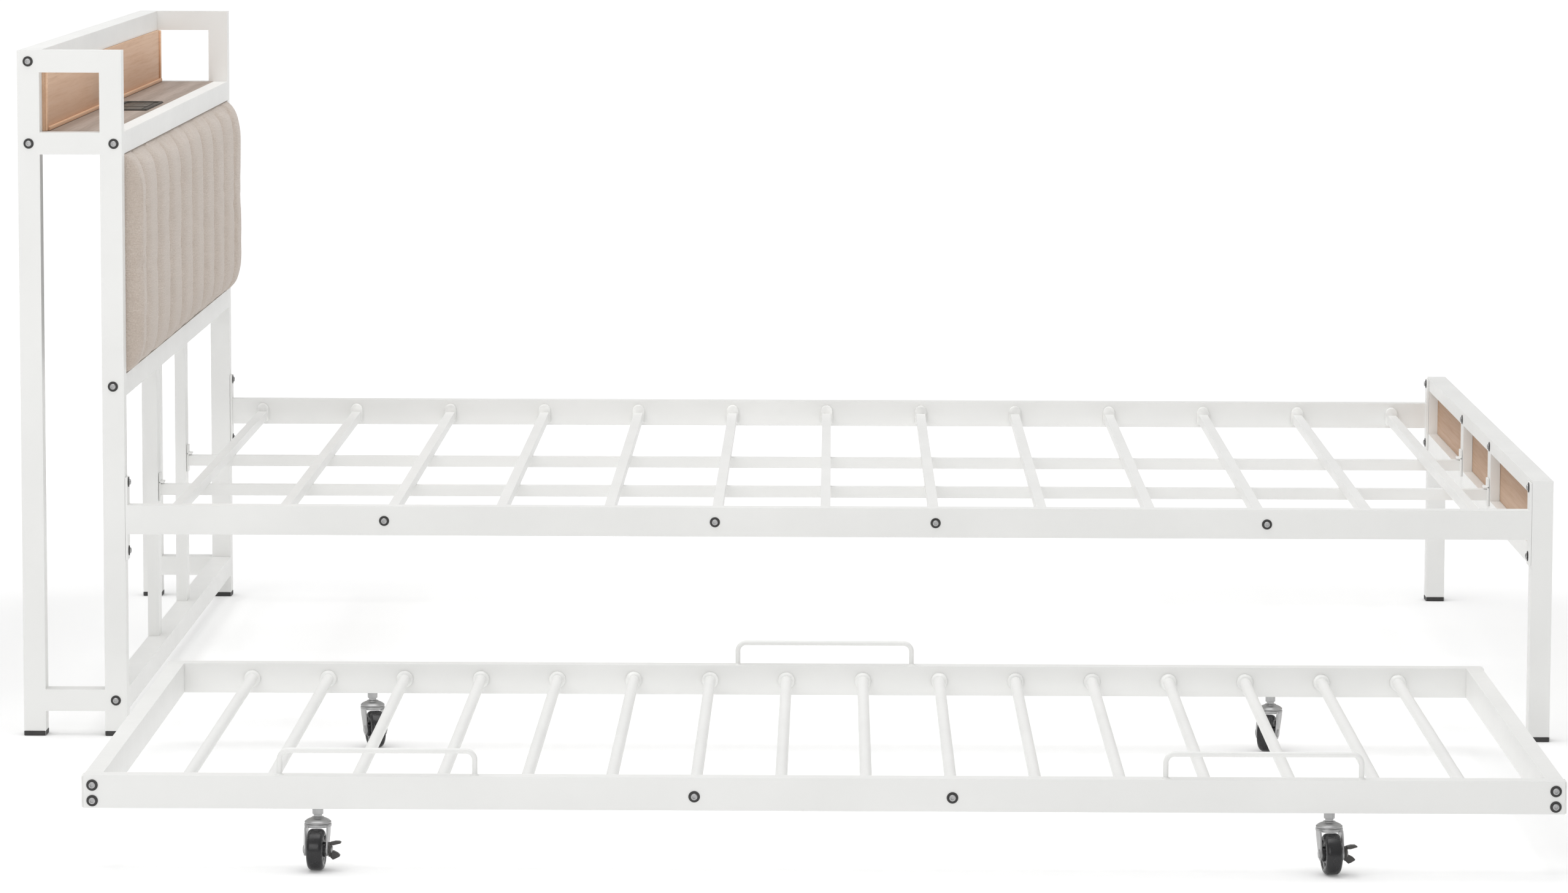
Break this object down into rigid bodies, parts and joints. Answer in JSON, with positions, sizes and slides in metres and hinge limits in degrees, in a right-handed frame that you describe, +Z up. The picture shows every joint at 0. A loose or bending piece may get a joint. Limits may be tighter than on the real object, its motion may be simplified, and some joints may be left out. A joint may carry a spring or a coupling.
{
  "type": "trundle bed",
  "caption": "Steel tube bed with an upholstered shelf headboard, wood panels and a slatted twin trundle on swivel casters, pulled out beside it.",
  "frame": {"origin": "middle of the bounding box, on the floor", "axes": "+Z up, +X from the headboard to the footboard, +Y across the bed, away from the pulled-out trundle"},
  "size_m": [2.102, 2.4853, 0.944],
  "materials": {
    "white_steel": "satin white powder coat",
    "oak_board": "light oak grain board",
    "shelf_laminate": "greyish brown wood board",
    "pad_fabric": "taupe woven upholstery with sewn channels",
    "socket_plastic": "dark moulded plastic",
    "zinc_steel": "zinc plated sheet steel",
    "wheel_plastic": "black moulded wheel",
    "pedal_plastic": "dark grey moulded plastic"
  },
  "bodies": {
    "bed": {"head_side_frame_near": "white_steel", "head_side_frame_far": "white_steel", "shelf_frame": "white_steel", "head_lower_frame": "white_steel", "shelf_board": "shelf_laminate", "back_board": "oak_board", "headboard_pad": "pad_fabric", "power_socket": "socket_plastic", "footboard_frame": "white_steel", "footboard_panel": "oak_board", "side_rail_near": "white_steel", "side_rail_far": "white_steel", "centre_rail_near": "white_steel", "centre_rail_far": "white_steel", "slat_01": "white_steel", "slat_02": "white_steel", "slat_03": "white_steel", "slat_04": "white_steel", "slat_05": "white_steel", "slat_06": "white_steel", "slat_07": "white_steel", "slat_08": "white_steel", "slat_09": "white_steel", "slat_10": "white_steel", "slat_11": "white_steel", "slat_12": "white_steel", "slat_13": "white_steel"},
    "trundle": {"trundle_rail_near": "white_steel", "trundle_rail_far": "white_steel", "trundle_rail_head": "white_steel", "trundle_rail_foot": "white_steel", "retainer_near_head": "white_steel", "retainer_near_foot": "white_steel", "retainer_far": "white_steel", "trundle_slat_01": "white_steel", "trundle_slat_02": "white_steel", "trundle_slat_03": "white_steel", "trundle_slat_04": "white_steel", "trundle_slat_05": "white_steel", "trundle_slat_06": "white_steel", "trundle_slat_07": "white_steel", "trundle_slat_08": "white_steel", "trundle_slat_09": "white_steel", "trundle_slat_10": "white_steel", "trundle_slat_11": "white_steel", "trundle_slat_12": "white_steel", "trundle_slat_13": "white_steel", "trundle_slat_14": "white_steel", "trundle_slat_15": "white_steel", "trundle_slat_16": "white_steel"},
    "fork_near_head": {"caster_fork_near_head": "zinc_steel"},
    "wheel_near_head": {"caster_wheel_near_head": "wheel_plastic"},
    "pedal_near_head": {"brake_pedal_near_head": "pedal_plastic"},
    "fork_near_foot": {"caster_fork_near_foot": "zinc_steel"},
    "wheel_near_foot": {"caster_wheel_near_foot": "wheel_plastic"},
    "pedal_near_foot": {"brake_pedal_near_foot": "pedal_plastic"},
    "fork_far_head": {"caster_fork_far_head": "zinc_steel"},
    "wheel_far_head": {"caster_wheel_far_head": "wheel_plastic"},
    "fork_far_foot": {"caster_fork_far_foot": "zinc_steel"},
    "wheel_far_foot": {"caster_wheel_far_foot": "wheel_plastic"}
  },
  "joints": [
    {"name": "trundle_slide", "type": "slide", "parent": "bed", "child": "trundle", "axis": [0, 1, 0], "range_m": [0, 1.007]},
    {"name": "swivel_near_head", "type": "hinge", "parent": "trundle", "child": "fork_near_head", "pos_m": [-0.559, -1.20192, 0.062], "axis": [0, 0, 1], "continuous": true},
    {"name": "wheel_spin_near_head", "type": "hinge", "parent": "fork_near_head", "child": "wheel_near_head", "pos_m": [-0.55978, -1.2169, 0.025], "axis": [-0.9986, 0.0523, 0], "continuous": true},
    {"name": "brake_near_head", "type": "hinge", "parent": "fork_near_head", "child": "pedal_near_head", "pos_m": [-0.55978, -1.2169, 0.025], "axis": [-0.9986, 0.0523, 0], "range_deg": [0, 14]},
    {"name": "swivel_near_foot", "type": "hinge", "parent": "trundle", "child": "fork_near_foot", "pos_m": [0.665, -1.20192, 0.062], "axis": [0, 0, 1], "continuous": true},
    {"name": "wheel_spin_near_foot", "type": "hinge", "parent": "fork_near_foot", "child": "wheel_near_foot", "pos_m": [0.66683, -1.21681, 0.025], "axis": [-0.9925, -0.1219, 0], "continuous": true},
    {"name": "brake_near_foot", "type": "hinge", "parent": "fork_near_foot", "child": "pedal_near_foot", "pos_m": [0.66683, -1.21681, 0.025], "axis": [-0.9925, -0.1219, 0], "range_deg": [0, 14]},
    {"name": "swivel_far_head", "type": "hinge", "parent": "trundle", "child": "fork_far_head", "pos_m": [-0.564, -0.28092, 0.062], "axis": [0, 0, 1], "continuous": true},
    {"name": "wheel_spin_far_head", "type": "hinge", "parent": "fork_far_head", "child": "wheel_far_head", "pos_m": [-0.55937, -0.29518, 0.025], "axis": [-0.9511, -0.309, 0], "continuous": true},
    {"name": "swivel_far_foot", "type": "hinge", "parent": "trundle", "child": "fork_far_foot", "pos_m": [0.661, -0.28092, 0.062], "axis": [0, 0, 1], "continuous": true},
    {"name": "wheel_spin_far_foot", "type": "hinge", "parent": "fork_far_foot", "child": "wheel_far_foot", "pos_m": [0.65636, -0.29518, 0.025], "axis": [-0.9511, 0.309, 0], "continuous": true}
  ]
}
